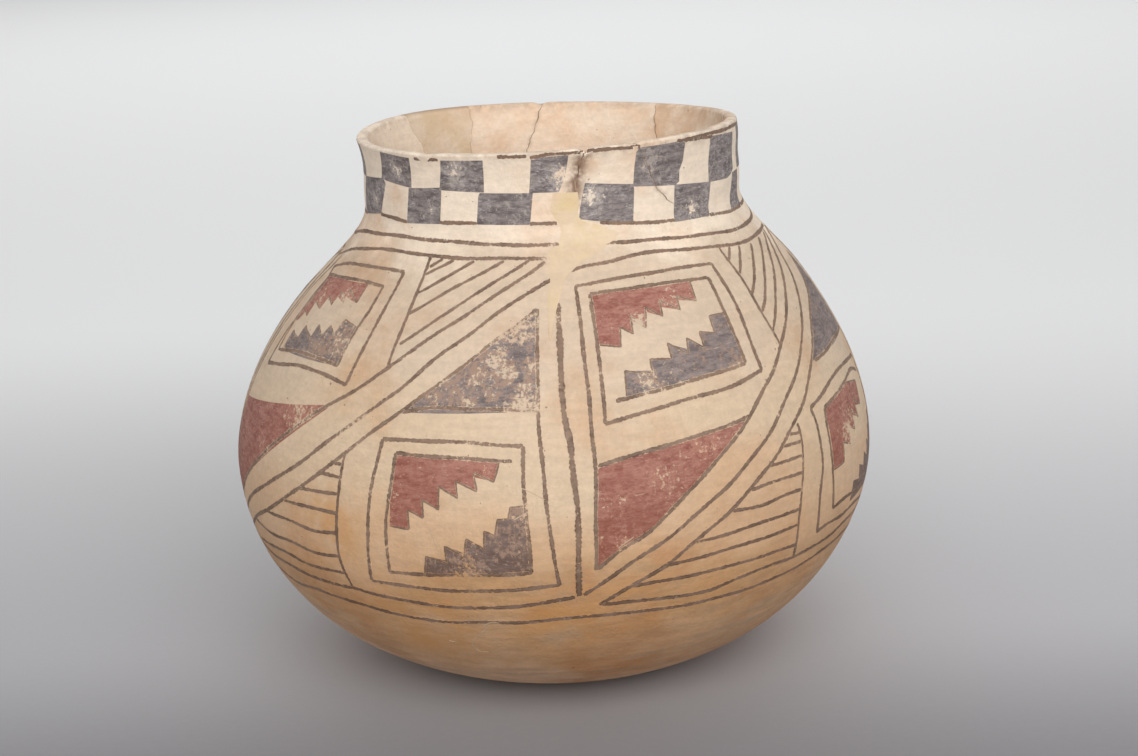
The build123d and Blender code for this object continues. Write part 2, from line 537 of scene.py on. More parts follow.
chalkLook = {
    "pale": (214, 192, 164),
    "dull": (182, 154, 126),
    "clouds": (500, 3),
    "grain": (900, 3),
    "roughness": (0.7, 0.9),
    "bump": 0.0001,
}
chalk = Finish("chalkMarks")
colour = chalk.mixed(chalk.noise(*chalkLook["clouds"]), chalkLook["pale"], chalkLook["dull"])
chalk.finish(colour, chalkLook)

plasterLook = {
    "toned": ((226, 198, 160), 60, 4, 0.55, 0.38, 0.66, 0.25, 0.8),
    "ochre": ((216, 182, 124), 95, 4, 0.65, 0.56, 0.72, 0.0, 0.55),
    "yellowed": ((228, 203, 148), 170, 4, 0.55, 0.3, 0.6),
    "stain": (120, 84, 60),
    "grain": (600, 4, 0.6),
    "roughness": (0.6, 0.85),
    "bump": 0.0003,
}
plaster = Finish("fillPlaster")
colour = plaster.laid(clayColour(plaster), plasterLook["toned"])
colour = plaster.laid(colour, plasterLook["ochre"])
colour = plaster.laid(colour, plasterLook["yellowed"], plaster.mark("toasted"))
colour = plaster.mixed(plaster.mark("stain"), colour, plasterLook["stain"])
plaster.finish(colour, plasterLook)

glueLook = {
    "dark": (116, 92, 76),
    "pale": (176, 150, 128),
    "clouds": (240, 4, 0.55, 0.38, 0.64),
    "grain": (700, 3),
    "roughness": (0.35, 0.6),
    "bump": 0.0002,
}
glue = Finish("oldGlue")
glue.finish(glue.mixed(glue.patches(*glueLook["clouds"]), glueLook["dark"], glueLook["pale"]), glueLook)
print("finishes made")

# Body: one turned wall, from the middle of its base up the outside to the break and back inside
body = {
    "columns": 336,
    "footRows": 84,
    "shoulderRows": 56,
    "stillRadius": 0.05,      # nearer to the axis than this the marks of the hands fade away
}
toastedSpots = [              # a pixel's x and y, reach in millimetres and strength
    (330, 525, 16, 0.75), (300, 560, 12, 0.3), (365, 600, 18, 0.4), (430, 632, 18, 0.8),
    (640, 600, 14, 0.55), (710, 585, 16, 0.35), (790, 520, 14, 0.2), (760, 560, 12, 0.2),
    (430, 205, 4, 0.4), (591, 166, 3, 0.6), (396, 196, 4, 0.5), (560, 625, 18, 0.7),
]


def strongestAt(points, spotList):
    # The strongest of some spots at each point, each a bell curve of the distance to it.
    middles = outside(*onJar([spot[:2] for spot in spotList]))
    strongest = np.zeros(len(points))
    for middle, (x, y, reach, strength) in zip(middles, spotList):
        apart = np.linalg.norm(points - middle, axis=1)
        strongest = np.maximum(strongest, strength * np.exp(-(apart / (0.001 * reach)) ** 2))
    return strongest


def bodyOutline(inset, bottom):
    # Radius and height from the edge of the flat base to the seam: equal turns of angle round the
    # superellipse, then equal steps of height.
    belly = jar["bellyHeight"]
    power = jar["footSquareness"]
    start = np.arccos(((belly - bottom) / lowerDrop(inset)) ** (power / 2))
    angle = np.linspace(start, pi / 2, body["footRows"])
    low = belly - lowerDrop(inset) * np.cos(angle) ** (2 / power)
    low[0] = bottom
    low[-1] = belly
    high = np.linspace(belly, jar["seamHeight"], body["shoulderRows"])[1:]
    height = np.concatenate([low, high])
    return wallRadius(height, inset), height


outerRadius, outerHeight = bodyOutline(0, 0)
innerRadius, innerHeight = bodyOutline(jar["wall"], jar["floor"])
radius = np.concatenate([outerRadius, innerRadius[::-1]])
height = np.concatenate([outerHeight, innerHeight[::-1]])
turn = np.linspace(0, 2 * pi, body["columns"], endpoint=False)
around, upward = np.meshgrid(turn, height, indexing="ij")
handMarks = handForm(around, upward) * np.minimum(radius / body["stillRadius"], 1)
wallPoints = place(around, radius + handMarks, upward).reshape(-1, 3)
index = np.arange(around.size).reshape(around.shape)
index = np.concatenate([index, index[:1]])
before, after = index[:-1], index[1:]
poles = np.array([[0, 0, 0], [0, 0, jar["floor"]]])
under = np.full(len(turn), len(wallPoints))    # the pole under the base; the one within comes after it
underFan = np.stack([under, after[:, 0], before[:, 0]], axis=-1)
withinFan = np.stack([before[:, -1], after[:, -1], under + 1], axis=-1)
faces = gridFaces(index).tolist() + underFan.tolist() + withinFan.tolist()
bodyPoints = np.concatenate([wallPoints, poles])
bodyMarks = {"stain": np.zeros(len(bodyPoints)), "toasted": strongestAt(bodyPoints, toastedSpots)}
addPiece("bodyWall", bodyPoints, faces, clay, "fired_clay", ["vessel_body"], bodyMarks)
print("body made")

# Neck sherds between the break lines, which are (bearing in degrees, share of the way to the rim)
breakLines = {
    "frontLeft": [(11, 1.1), (8.5, 0.9), (7, 0.6), (5, -0.1)],
    "frontRight": [(23, 1.1), (28, 0.76), (32, 0.45), (36, 0.29), (41, 0.18), (58, -0.1)],
    "backRight": [(142, 1.1), (141, 0.8), (139, 0.55), (140, -0.1)],
    "back": [(182, 1.1), (185, 0.72), (188, 0.45), (191, -0.1)],
    "fillRight": [(209, 1.1), (208, 0.8), (209.5, 0.5), (210, -0.1)],
    "fillLeft": [(236, 1.1), (234, 0.78), (231, 0.65), (224, -0.1)],
}
neck = {
    "rows": 30,
    "columnTurn": 0.9,        # degrees between columns at most
    "lipRows": 9,
    "lipTurn": 82,            # degrees that the lip's rounding turns through
    "lipRise": 0.0009,
    "lipInset": 0.0011,
    "rimWall": 0.0038,
    "gap": 0.00006,           # half the width of a break
    "jags": [(0.22, 37, 5), (0.14, 91, 1)],    # degrees that a break strays, its pace and its start
    "chips": [                # bearing, width in degrees and depth of bites out of the rim
        (10, 1.4, 0.0012),
        (24, 1.0, 0.0006),
        (-38, 3, 0.0005),
        (52, 4, 0.0004),
        (183, 1.5, 0.0008),
    ],
    "chipFoot": 0.181,
    "stains": [               # break, from and to which share of the neck, width in degrees, strength
        ("frontLeft", 0.35, 1.1, 2.6, 0.9),
        ("frontRight", 0.3, 0.8, 1.2, 0.5),
        ("back", 0.3, 1.1, 0.8, 0.3),
        ("fillRight", 0.0, 1.1, 1.0, 0.15),
        ("backRight", 0.72, 0.78, 0.6, 1.6),
    ],
    "stainFade": (0.1, 0.05),
    "lipStain": 0.3,
    "lipStainHeights": (0.1825, 0.1855),
}
neckSherds = {                # breaks on its two sides, how tanned it is inside (on the right sherd mostly painted shade of the inner wall), its node
    "leftSherd": ("fillLeft", "frontLeft", 0.05, "neck_sherd_left"),
    "frontSherd": ("frontLeft", "frontRight", 0.15, "neck_sherd_front"),
    "rightSherd": ("frontRight", "backRight", 0.45, "neck_sherd_right"),
    "backRightSherd": ("backRight", "back", 0.10, "neck_sherd_back_right"),
    "backLeftSherd": ("back", "fillRight", 0.10, "neck_sherd_back_left"),
}
rimFill = {"sides": ("fillRight", "fillLeft"), "stain": 0.12, "lipStain": 0.4}


def breakBearing(name, part):
    # The break's bearing at a share of the neck's height, with a fine jag along it.
    line = np.array(breakLines[name][::-1], dtype=float)
    jag = ripple(part, line[0, 0], neck["jags"])
    return np.radians(np.interp(part, line[:, 1], line[:, 0]) + jag)


def betweenBreaks(leftBreak, rightBreak, part):
    # The bearings of a sherd's two sides, with a turn taken off the left one where it is the larger.
    left = breakBearing(leftBreak, part)
    right = breakBearing(rightBreak, part)
    return left - 2 * pi * (left > right), right


def neckRows():
    # Heights up the neck, and how far the lip's rounding draws in the wall's two faces at each.
    angle = np.radians(np.linspace(0, neck["lipTurn"], neck["lipRows"]))[1:]
    straight = np.linspace(jar["seamHeight"], jar["lipFoot"], neck["rows"])
    height = np.concatenate([straight, jar["lipFoot"] + neck["lipRise"] * np.sin(angle)])
    inset = np.concatenate([0 * straight, neck["lipInset"] * (1 - np.cos(angle))])
    return height, inset


def neckFaces(bearing, height, inset):
    # The neck's outer and inner faces at a grid of bearings and heights: a wall that thins towards
    # the rim, lowered where the rim is chipped.
    thickness = jar["wall"] + (neck["rimWall"] - jar["wall"]) * upNeck(height)
    chipped = sum(deep * bell(bearing, middle, width) for middle, width, deep in neck["chips"])
    lowered = height - chipped * share(height, neck["chipFoot"], jar["rimHeight"])
    radius = wallRadius(height, 0) + handForm(bearing, height)
    return place(bearing, radius - inset, lowered), place(bearing, radius - thickness + inset, lowered)


def neckSherd(leftBreak, rightBreak):
    # The wall between two breaks: bearings in equal steps from one to the other at each height.
    height, inset = neckRows()
    left, right = betweenBreaks(leftBreak, rightBreak, upNeck(height))
    away = neck["gap"] / jar["waistRadius"]
    left, right = left + away, right - away
    columns = int(np.ceil(np.degrees((right - left).max()) / neck["columnTurn"])) + 2
    bearing = left + (right - left) * np.linspace(0, 1, columns)[:, None]
    height = np.broadcast_to(height, bearing.shape)
    points, faces = slab(*neckFaces(bearing, height, inset))
    return points, faces, np.tile(bearing.ravel(), 2), np.tile(height.ravel(), 2)


def stainAlong(bearing, height):
    # Brown stain beside some breaks: a bell curve of the distance in degrees, over part of the height.
    part = upNeck(height)
    fadeIn, fadeOut = neck["stainFade"]
    total = np.zeros_like(bearing)
    for name, low, high, width, strength in neck["stains"]:
        past = share(part, high - fadeOut, high + fadeOut)
        within = share(part, low - fadeIn, low + fadeIn) * (1 - past)
        total += strength * bell(bearing, np.degrees(breakBearing(name, part)), width) * within
    return np.clip(total, 0, 1)


for name, (leftBreak, rightBreak, tanAndShadeInside, node) in neckSherds.items():
    points, faces, bearing, height = neckSherd(leftBreak, rightBreak)
    lip = neck["lipStain"] * share(points[:, 2], *neck["lipStainHeights"])
    # The inner face is darkened by this: a real tan, and on the right sherd painted shade.
    inner = np.repeat([0.0, tanAndShadeInside], len(points) // 2)
    toasted = np.maximum(strongestAt(points, toastedSpots), inner)
    marks = {"stain": np.maximum(stainAlong(bearing, height), lip), "toasted": toasted}
    addPiece(name, points, faces, clay, "fired_clay", [node], marks)
points, faces, bearing, height = neckSherd(*rimFill["sides"])
stain = rimFill["stain"] + rimFill["lipStain"] * share(height, jar["lipFoot"], jar["rimHeight"])
marks = {"stain": stain, "toasted": np.zeros(len(points))}
addPiece("rimFill", points, faces, plaster, "fill_plaster", ["rim_fill"], marks)
print("neck made")

# Glue: a thin wall in each break, just proud of the clay, and a hidden bed under each sherd
gluing = {
    "joints": [               # piece, break, half its width, share of the neck where it starts, node
        ("frontLeftGlue", "frontLeft", 0.00024, 0.52, "joint_glue_front_left"),
        ("frontRightGlue", "frontRight", 0.00015, 0.0, "joint_glue_front_right"),
        ("backRightGlue", "backRight", 0.00014, 0.0, "joint_glue_back_right"),
        ("backGlue", "back", 0.00017, 0.0, "joint_glue_back"),
    ],
    "proud": 0.00010,
    "uneven": (0.75, 0.35, 310, 1170),    # mean share of the width, its swing and two paces
    "bedRise": 0.00015,
    "bedInset": 0.0006,
    "bedShort": 0.01,         # radians from a bed's end to the break
    "bedColumns": 48,
}


def jointGlue(name, half, low):
    # A strip along a break, of uneven width and a little proud of both faces of the wall.
    height, inset = neckRows()
    kept = upNeck(height) >= low
    height, inset = height[kept], inset[kept]
    mean, swing, slow, quick = gluing["uneven"]
    uneven = mean + swing * np.sin(slow * height) * np.sin(quick * height + 1)
    across = np.array([-1.0, 0.0, 1.0])[:, None] * half / jar["waistRadius"]
    bearing = breakBearing(name, upNeck(height)) + across * uneven
    height = np.broadcast_to(height, bearing.shape)
    return slab(*neckFaces(bearing, height, inset - gluing["proud"]))


def bedGlue(leftBreak, rightBreak):
    # A thin bed in the seam under a sherd, set back from both faces of the wall.
    left, right = betweenBreaks(leftBreak, rightBreak, np.zeros(1))
    short = gluing["bedShort"]
    bearing = np.linspace(left + short, right - short, gluing["bedColumns"]) + np.zeros(2)
    height = jar["seamHeight"] + gluing["bedRise"] * np.array([-1.0, 1.0]) + np.zeros_like(bearing)
    return slab(*neckFaces(bearing, height, gluing["bedInset"]))


for name, line, half, low, node in gluing["joints"]:
    addPiece(name, *jointGlue(line, half, low), glue, "glue", [node])
beds = [bedGlue(leftBreak, rightBreak) for leftBreak, rightBreak, tanAndShadeInside, node in neckSherds.values()]
bedNodes = [sherd[-1].replace("neck_sherd", "seam_glue") for sherd in neckSherds.values()]
addPiece("seamGlue", *joinGrids(beds), glue, "glue", bedNodes)

# Plaster on the front of the shoulder: left and right edges as pixels of the photograph, from its tip up
shoulderFill = {
    "left": [(549, 340), (547, 310), (546, 275), (548, 262), (544, 254), (556, 243), (559, 232),
             (556, 222), (548, 210), (552, 193)],
    "right": [(551, 340), (557, 310), (565, 280), (576, 268), (585, 260), (607, 248), (618, 240),
              (622, 232), (606, 226), (584, 221), (579.5, 214), (580, 200), (579, 192)],
    "grid": (30, 90),
    "proud": 0.00022,
    "sunk": 0.00006,
    "edgeSlope": 6,           # the mound is full one part in this many of the way across
    "uneven": 0.00006,
    "unevenPaces": (90, 700),
    "depth": 0.003,
    "yellowed": [(590, 224, 5, 0.7), (570, 250, 5, 0.5), (566, 206, 5, 0.5)],    # as toastedSpots
}


def walkedAlong(points):
    # The distance from the start of a chain to each of its points.
    return np.concatenate([[0], np.cumsum(np.linalg.norm(np.diff(points, axis=0), axis=1))])


def alongLine(points, count):
    # Points at equal distances along a chain of straight lines.
    walked = walkedAlong(points)
    at = np.linspace(0, walked[-1], count)
    return np.stack([np.interp(at, walked, column) for column in points.T], axis=-1)


def ruledGrid(left, right, columns, rows):
    # Straight rulings between two chains of points, each walked in equal steps.
    first = alongLine(left, rows)
    second = alongLine(right, rows)
    across = np.linspace(0, 1, columns)[:, None, None]
    return offSkin(first + (second - first) * across)


def plasterPatch(look):
    # A low mound over the ruled area, sunk at its edges, with an uneven face.
    columns, rows = look["grid"]
    bearing, height = ruledGrid(onSkin(look["left"]), onSkin(look["right"]), columns, rows)
    across = np.linspace(0, 1, columns)[:, None]
    mound = np.minimum(1, look["edgeSlope"] * np.minimum(across, 1 - across))
    paceRound, paceUp = look["unevenPaces"]
    uneven = look["uneven"] * np.sin(paceRound * bearing) * np.sin(paceUp * height)
    lift = ((look["proud"] + uneven) * mound - look["sunk"])[..., None]
    normal = outsideNormal(bearing, height)
    outer = outside(bearing, height)
    return slab(outer + normal * lift, outer - normal * look["depth"])


points, faces = plasterPatch(shoulderFill)
marks = {"stain": np.zeros(len(points)), "toasted": strongestAt(points, shoulderFill["yellowed"])}
addPiece("shoulderPlaster", points, faces, plaster, "fill_plaster", ["shoulder_fill"], marks)
print("glue and plaster made")

# Painting: brush lines and filled shapes, given as pixels of the photograph; a line that runs on
# round a side is a pair, with the points that the photograph hides as (bearing in degrees, height in mm)
frameLines = [
    ([(559, 243.8), (522, 245.6), (500, 244.6), (460, 242.2), (431, 240), (409, 237), (384, 234),
      (363, 231)], [(-80, 154.8), (-84, 154)]),
    ([(579, 244.3), (601, 243), (655, 239.5), (698, 235.2), (731, 230.3), (745, 224.4)],
     [(84, 153), (90, 154)]),
    ([(547, 258.2), (512, 258.5), (460, 258), (431, 255.7), (400, 251), (374, 248.6)],
     [(-74, 150), (-84, 146.5)]),
    ([(556, 278), (573, 270), (611, 261), (623, 257.5), (659, 251), (683, 249.3), (720, 246), (747, 240.6),
      (758, 232)], [(86, 148.2)]),
    ([(282.7, 569.8), (296.9, 581.3), (320, 590), (352, 601), (397, 613.5), (438, 621), (490, 622),
      (507, 622.7), (558, 619), (610, 614), (672, 607), (730, 594), (771, 579), (792, 569), (811.5, 557),
      (827, 546), (841, 533)], [(75, 48), (90, 48)]),
    ([], [(-63.5, 45.6), (-73, 46.8), (-83.5, 48)]),
    ([(352, 587.4), (336, 584), (314.7, 576.9), (289.8, 564.4), (272, 552)], [(-73, 53.4), (-83, 54.6)]),
    [(352, 587), (403, 600), (472, 608), (524, 605.5), (575, 597)],
    ([(600, 604), (662, 598), (713, 589), (735, 579), (760, 569), (792, 557), (811.5, 547), (827, 537),
      (842, 523), (853.6, 510)], [(80, 55.2), (90, 54.6)]),
    [(537, 309), (537.5, 366), (538, 410), (542, 460), (544.5, 486), (549.6, 527),
     (554.7, 562), (560, 585)],
    [(576, 286), (582, 338), (587, 380), (591, 422), (595, 465), (596, 511), (596, 570)],
    [(575, 286), (611, 279.5), (660, 271), (711, 263)],
    [(711, 263), (735, 303), (756, 357), (761.8, 370)],
    [(761.8, 370), (735, 384.6), (670, 404), (605, 424)],
    [(605, 424), (601, 373), (596, 338), (590, 294)],
    [(590, 294), (640, 286.5), (707, 277)],
    [(707, 277), (728, 320), (745, 363)],
    [(745, 363), (680, 384), (616, 401)],
    ([(598, 569), (621, 550), (650, 531), (686, 494), (723, 453), (749, 417), (765, 385.7), (773, 370),
      (780.2, 346.7), (785.8, 314), (785.8, 296), (783, 277.5), (776.3, 255), (764.6, 231.7)],
     [(80.5, 147.9)]),
    ([(584, 595), (631, 563), (672, 535), (701, 510), (735, 478), (751.6, 458), (768.2, 434.8),
      (785.2, 400), (797.5, 366.7), (801.7, 325.4), (797.5, 292), (791.9, 275), (781.9, 256)],
     [(81, 144.3), (87, 147.5)]),
    ([(599, 604), (631, 586), (662, 568), (693, 543), (735, 506), (763, 473), (777, 454), (791, 428.5),
      (802.6, 403), (808.7, 378), (812, 342), (810.9, 323), (806.4, 287.5), (802, 275)], [(84, 139.4)]),
    [(598, 466), (650, 450), (700, 435), (750, 416)],
    ([(546, 261), (475, 309), (400, 359), (385.7, 369.7), (362.8, 385.8), (326, 406.5), (261, 456)],
     [(-71, 75), (-80, 63.3)]),
    ([(554, 278), (533, 290), (498, 313), (470, 334), (439, 356), (400, 389), (343, 430), (301, 462)],
     [(-70.3, 68.2), (-82, 54.8)]),
    ([(537, 309), (490, 345), (445, 380), (400, 412), (348, 450.5), (320, 473), (297, 489),
      (282.7, 499.6), (267.6, 509.3), (256, 517)], [(-72, 59), (-80, 53)]),
    [(400, 412), (431, 408), (480, 409), (537.5, 410.5)],
    [(560, 585), (510, 590), (459, 591), (415, 587), (372, 580)],
    [(372, 580), (368, 538), (372, 486), (383, 439)],
    [(383, 439), (450, 441.5), (523, 446)],
    [(523, 446), (523, 474), (527, 520), (532, 573)],
    [(532, 573), (460, 575), (390, 572)],
    [(390, 572), (386, 530), (390, 490), (396, 453)],
    [(396, 453), (455, 458), (512, 461)],
    [(334, 266.4), (344.4, 263.5), (362.8, 265.3), (383.4, 268), (404, 272)],
    [(404, 272), (385.7, 307.7), (362.8, 350), (346, 385.2)],
    [(346, 385.2), (323.7, 373.8), (304.2, 367), (268.6, 362.3)],
    [(268.6, 362.3), (282.4, 337.6), (299.6, 313.5), (322.6, 286), (334, 267.6)],
    [(330.6, 274.4), (357, 279.6), (384, 286)],
    [(384, 286), (370.8, 309), (358.2, 327.3), (338, 365.7)],
    [(279, 348.5), (307.7, 353.7), (319, 358.3), (338, 365.7)],
    [(279, 348.5), (296.2, 319.2), (330.6, 274.4)],
    ([], [(-79, 147), (-80, 139), (-79.6, 128), (-79.8, 107), (-80.4, 90), (-80, 63)]),
    ([(810.3, 408), (817.6, 399), (835.4, 372.3)], [(82, 103.5)]),
    [(810.3, 408), (816.6, 423.4), (820.5, 443.8), (822.4, 461.6), (819.8, 497.3), (816.6, 531.8)],
    ([(816.6, 531.8), (826.8, 524), (840.9, 515), (853.6, 502.4), (861.3, 492)], [(86, 58.5)]),
    ([(824.3, 408), (842, 385), (851.6, 368)], [(79.8, 99)]),
    [(824.3, 408), (826.8, 426), (830, 442.5), (832.6, 468), (833, 489.7), (832.6, 507.6)],
    ([(832.6, 507.6), (843.4, 498.6), (856, 489.7), (863.8, 480.8)], [(82.7, 63)]),
    ([(814.8, 360.6), (824, 352), (832, 341)], [(84.5, 112.5)]),
    ([], [(82, 103.5), (82.7, 82), (82.7, 63)]),
    ([], [(86, 58.5), (85, 80), (84.5, 112.5), (84, 139.4)]),
]
heavyLines = [
    [(557, 303), (560, 338), (561, 380), (565, 418), (570, 443), (572, 465), (577, 501),
     (578, 532), (579, 596)],
    ([], [(90, 54.5), (89.5, 102), (88.5, 140), (87.5, 147)]),
]
hatchLines = [
    [(431, 256), (410, 310), (388, 367)],
    [(443.5, 259), (430, 267)],
    [(454, 260), (425, 275)],
    [(474, 261), (418, 293)],
    [(504, 261), (456, 287), (408, 314)],
    [(529, 260), (465, 301), (400, 344)],
    [(719, 248), (735, 269.6), (751.7, 295.3), (761.2, 312), (773.5, 332.7), (780.2, 346)],
    [(729, 247), (729, 261)],
    [(739.2, 246), (739.5, 273)],
    [(750.6, 243.4), (751.5, 294.2)],
    [(758.7, 237.3), (761.8, 253), (764.2, 269.6), (764.9, 289.7), (764.2, 302), (761.8, 312)],
    [(762.9, 231.7), (768.5, 249.6), (773.5, 272), (775.4, 294), (774.1, 321), (772.4, 332)],
    [(797, 423.4), (800.7, 436), (802.6, 449), (803.2, 466.7), (802, 484.6), (798.8, 520),
     (796.2, 542), (793, 556)],
    [(789.8, 434), (798.8, 432.3)],
    [(782.8, 446.3), (801.3, 441.2)],
    [(769.4, 465.5), (802.6, 455.3)],
    [(751.6, 489.7), (776, 481), (802, 471.8)],
    [(733, 511), (765.6, 503.7), (786, 494.8), (801.3, 489)],
    [(695, 542), (735, 531.8), (763, 521.6), (798.8, 509.5)],
    [(664, 566), (735, 547), (797.5, 524.8)],
    [(631, 586), (735, 564.3), (765.6, 554.7), (795, 544.5)],
    [(346, 451), (338, 498), (337, 531), (341, 562), (353, 587)],
    [(331, 462), (343, 465)],
    [(318, 472), (342, 478)],
    [(298, 488), (337, 493.5)],
    [(284, 499.6), (337.5, 513)],
    [(267, 510.2), (293, 521.8), (316, 530.7), (337.5, 533.3)],
    [(257, 519), (270, 531.6), (291.6, 541.3), (314.7, 552), (339, 556.4)],
    [(262, 537.8), (284.4, 551), (311, 564.4), (329, 569.8), (345, 572.8)],
]
rimLines = [
    [(414, 158.5), (425, 159.4), (438, 160)],
    [(497, 156), (511, 155.2), (526, 154)],
    ([], [(38, 184.0), (56, 184.0), (75, 183.8), (120, 184.0), (170, 184.2), (207, 184.1)]),
    ([], [(238, 184.0), (262, 184.2), (284, 184.0)]),
]
paleMarks = [
    [(488, 627), (481, 633), (474.5, 640), (473, 645), (478, 650), (489, 652)],
    [(484, 626), (491, 622.5), (499, 623)],
    [(449, 640), (453, 641.5), (456, 641)],
    [(522, 488), (533, 493), (545, 499.5)],
    [(514, 520), (521, 516), (527.5, 512.5)],
    [(429, 527), (434, 539), (439, 550)],
    [(618, 548), (626, 542), (634, 537)],
    [(472.5, 573.5), (475, 574.5)],
]
rubbedSpots = [               # as toastedSpots
    (510, 375, 3.8, 1), (531, 368, 3.4, 1), (526, 388, 3.6, 1), (468, 402, 2.6, 1), (527, 404, 5.5, 1),
    (477, 377, 6, 0.9), (495, 365, 6, 0.9), (450, 388, 6, 0.8), (436, 396, 4.5, 0.7),
    (524, 330, 5.5, 0.8), (490, 388, 5, 0.7), (507, 330, 4, 0.6), (738, 368, 3.5, 0.9),
    (645, 384, 4.5, 0.6), (521, 516, 6, 0.7), (512, 545, 8, 0.4), (470, 566, 6, 0.5),
    (702, 446, 7, 0.7), (625, 545, 5, 0.6), (655, 480, 6, 0.5), (620, 500, 5, 0.4),
    (640, 322, 3.5, 0.9), (302, 412, 9, 0.8), (268, 455, 6, 0.5), (340, 342, 8, 0.9),
    (318, 350, 6, 0.8), (346, 296, 7, 0.7), (322, 300, 6, 0.6), (462, 500, 5, 0.5), (485, 470, 4, 0.6),
    (456, 172, 4, 0.9), (396, 168, 3.5, 0.8), (562, 176, 4.5, 1), (592, 196, 4, 0.9),
    (648, 164, 4, 0.7), (692, 208, 4, 0.7), (430, 212, 3, 0.5), (376, 200, 3, 0.7), (846, 425, 7, 0.6),
    (840, 395, 5, 0.5), (562, 244, 5, 0.8), (600, 243, 6, 0.7), (549, 260, 5, 0.9), (562, 320, 5, 0.3),
    (385, 560, 8, 0.6), (670, 300, 4, 0.5), (350, 430, 8, 0.6), (470, 441, 8, 0.5),
]
neckLines = [
    [(381.4, 213.6), (394, 217.5), (407, 222.3)],
    [(440, 222.3), (458, 223), (477, 223.2)],
    [(530, 223.6), (545, 223.2), (557, 223)],
    [(600, 222.5), (634, 222.9), (655, 221.8), (675, 220)],
    [(709.5, 214.6), (722, 212.5), (733, 209.8), (740, 205)],
    [(530, 158), (549, 154.4), (567, 151.6), (583, 150)],
    [(587, 151), (610, 149.2), (634, 146.8), (640, 146)],
    [(684, 140.3), (698, 138.6), (712, 136)],
]

# Filled shapes: a corner and the far edge that it is joined to, or two facing edges
blackFans = [
    [(745, 363.5), (723.5, 313), (709, 316), (714, 333), (699, 332), (704, 348), (686, 338), (688, 354),
     (667, 343), (671.5, 359), (650, 359), (653, 375), (624.5, 371), (627, 397)],
    [(537.5, 410.5), (537, 309), (490, 345), (445, 380), (400, 412)],
    [(532, 575), (525, 506), (510, 507), (508, 519), (497, 520), (495, 536), (484, 531), (484, 549),
     (466, 539), (464, 556), (445, 546), (447, 563), (426, 556), (425, 575)],
    [(338, 365.7), (356.5, 327.3), (346, 319.2), (334.6, 334), (331.2, 325.5), (321.4, 336.4),
     (319.7, 324.4), (309.4, 340), (306.5, 325.5), (296.8, 340), (293.9, 330),
     (284.7, 345.6), (284.7, 349)],
    ([], [(84.5, 112.5), (84.2, 139), (80.4, 136), (74.6, 129.3), (69, 125.4), (64.5, 121.1),
          (57.5, 111.5)]),
]
redFans = [
    [(590, 294), (689, 281), (696, 301), (676, 296), (679.5, 310), (659, 300), (662, 316.5), (645, 307),
     (646, 328), (630, 316), (633, 334), (620, 327), (621, 347), (598.6, 344.5)],
    [(598, 466), (750, 416), (735, 438.7), (723, 453), (686, 494), (650, 531), (621, 550), (597, 569)],
    [(395, 453), (499, 462), (494, 482), (474, 473), (477, 491), (456, 481), (458, 498), (439, 486),
     (439, 510), (422, 500), (423, 518), (408, 510), (409, 529), (390, 526)],
    [(330.6, 274.4), (369, 284.2), (357, 302.6), (350.7, 289.4), (343.8, 302.6), (342, 291.7),
     (331.8, 304.9), (330, 296.3), (319.7, 308.9), (316.8, 300.8), (307, 315.8),
     (306, 311), (298.5, 319.2), (295, 319.2)],
    ([(333, 404.6)], [(-79.7, 100.8), (-80.3, 82), (-80, 63.6)]),
    [(824.3, 408.7), (844.7, 382.6), (854.9, 380), (859.7, 403.6), (853, 399), (858.1, 416.4),
     (850.4, 409.3), (854.9, 429), (848.5, 427), (850.4, 443.8), (843.4, 442),
     (844, 461.6), (833.9, 469.3)],
]
neckChecks = [
    ([(382, 178.5), (379.8, 151.5)], [(411.5, 188), (409, 158)]),
    ([(439.5, 190), (440.5, 160.5)], [(484, 192.5), (482.5, 160.5)]),
    ([(529.2, 193), (531, 158)], [(559, 192), (561, 186.4), (565.4, 175.7), (568.5, 155)]),
    ([(633.2, 186.5), (636.8, 148)], [(675, 185), (679, 181), (679, 170.1), (682.7, 160.4), (685.4, 140)]),
    ([(708.6, 182), (710.4, 136)], [(727, 178), (731, 173), (732.6, 168), (732, 131.5)]),
    ([(366.7, 213), (366, 175.5)], [(381.6, 213.5), (385.8, 183.3), (383, 178)]),
    ([(407.3, 223), (409, 188)], [(440.2, 224), (441.6, 187.5)]),
    ([(477, 224.5), (478.3, 196), (480, 193)], [(529.5, 224.8), (530.5, 221.3), (532.8, 193)]),
    ([(579, 219), (580, 208), (585, 183)], [(633.4, 224.5), (634, 188.6), (633, 184)]),
    ([(674.6, 222), (674.2, 184.5)], [(709.5, 215.5), (710.4, 181.5)]),
    ([(732, 211), (732, 172)], ([], [(76.5, 157.2), (76.5, 169.2)])),
]
backChecks = {                # the same checks run on round the back of the neck
    "from": 76.5,
    "step": 15.92,
    "count": 13,
    "gaps": (8, 9),           # the plaster of the rim is bare
    "bare": (208, 228),       # and so is the line below between these bearings
    "rows": [(157.2, 169.0, 183.6), (161.5, 174.0, 185.0)],    # heights in mm at the two ends
    "sway": (0.8, 5.0),       # degrees that an edge strays, and the pace of it
    "unlevel": (0.4, 7.0),    # the same for its height, in millimetres
    "basePoints": 12,
}
